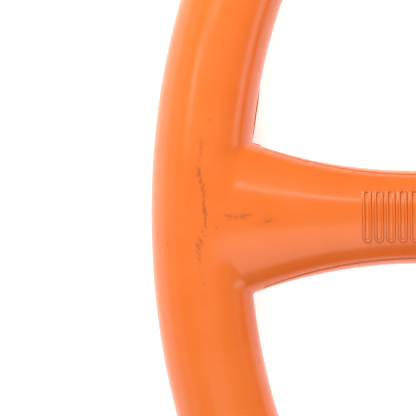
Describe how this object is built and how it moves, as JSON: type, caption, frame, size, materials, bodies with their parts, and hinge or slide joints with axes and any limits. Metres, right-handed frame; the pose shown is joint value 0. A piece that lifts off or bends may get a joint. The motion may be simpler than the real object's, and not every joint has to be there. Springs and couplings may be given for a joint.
{
  "type": "centre-grip ring weight",
  "caption": "Oval tube hand weight crossed by a waisted grip bar: moulded shells screwed together round a pinned steel core, resting on rubber feet.",
  "frame": {"origin": "on the floor under the middle of the grip, at the centre of the feet", "axes": "+X along the grip, +Y along the oval's long axis, +Z out of the front face, away from the feet"},
  "size_m": [0.1886, 0.3276, 0.0358],
  "materials": {
    "orange_shell": "glossy moulded plastic with a slight orange peel",
    "core_steel": "drawn and turned bar, lightly oiled",
    "zinc_steel": "zinc plated",
    "insert_brass": "machined",
    "black_rubber": "matt moulded rubber"
  },
  "bodies": {
    "root": {"front_shell": "orange_shell", "back_shell": "orange_shell", "left_core_bar": "core_steel", "left_bar_cushion_1": "black_rubber", "left_bar_cushion_2": "black_rubber", "left_bar_cushion_3": "black_rubber", "left_bar_cushion_4": "black_rubber", "right_core_bar": "core_steel", "right_bar_cushion_1": "black_rubber", "right_bar_cushion_2": "black_rubber", "right_bar_cushion_3": "black_rubber", "right_bar_cushion_4": "black_rubber", "grip_rod": "core_steel", "left_rod_cushion": "black_rubber", "left_cross_pin": "zinc_steel", "right_rod_cushion": "black_rubber", "right_cross_pin": "zinc_steel", "foot_screw_1": "zinc_steel", "foot_insert_1": "insert_brass", "rest_foot_1": "black_rubber", "foot_screw_2": "zinc_steel", "foot_insert_2": "insert_brass", "rest_foot_2": "black_rubber", "foot_screw_3": "zinc_steel", "foot_insert_3": "insert_brass", "rest_foot_3": "black_rubber", "foot_screw_4": "zinc_steel", "foot_insert_4": "insert_brass", "rest_foot_4": "black_rubber", "end_screw_1": "zinc_steel", "end_insert_1": "insert_brass", "end_cap_1": "orange_shell", "end_screw_2": "zinc_steel", "end_insert_2": "insert_brass", "end_cap_2": "orange_shell", "flare_screw_1": "zinc_steel", "flare_insert_1": "insert_brass", "flare_cap_1": "orange_shell", "flare_screw_2": "zinc_steel", "flare_insert_2": "insert_brass", "flare_cap_2": "orange_shell", "flare_screw_3": "zinc_steel", "flare_insert_3": "insert_brass", "flare_cap_3": "orange_shell", "flare_screw_4": "zinc_steel", "flare_insert_4": "insert_brass", "flare_cap_4": "orange_shell"}
  },
  "joints": []
}
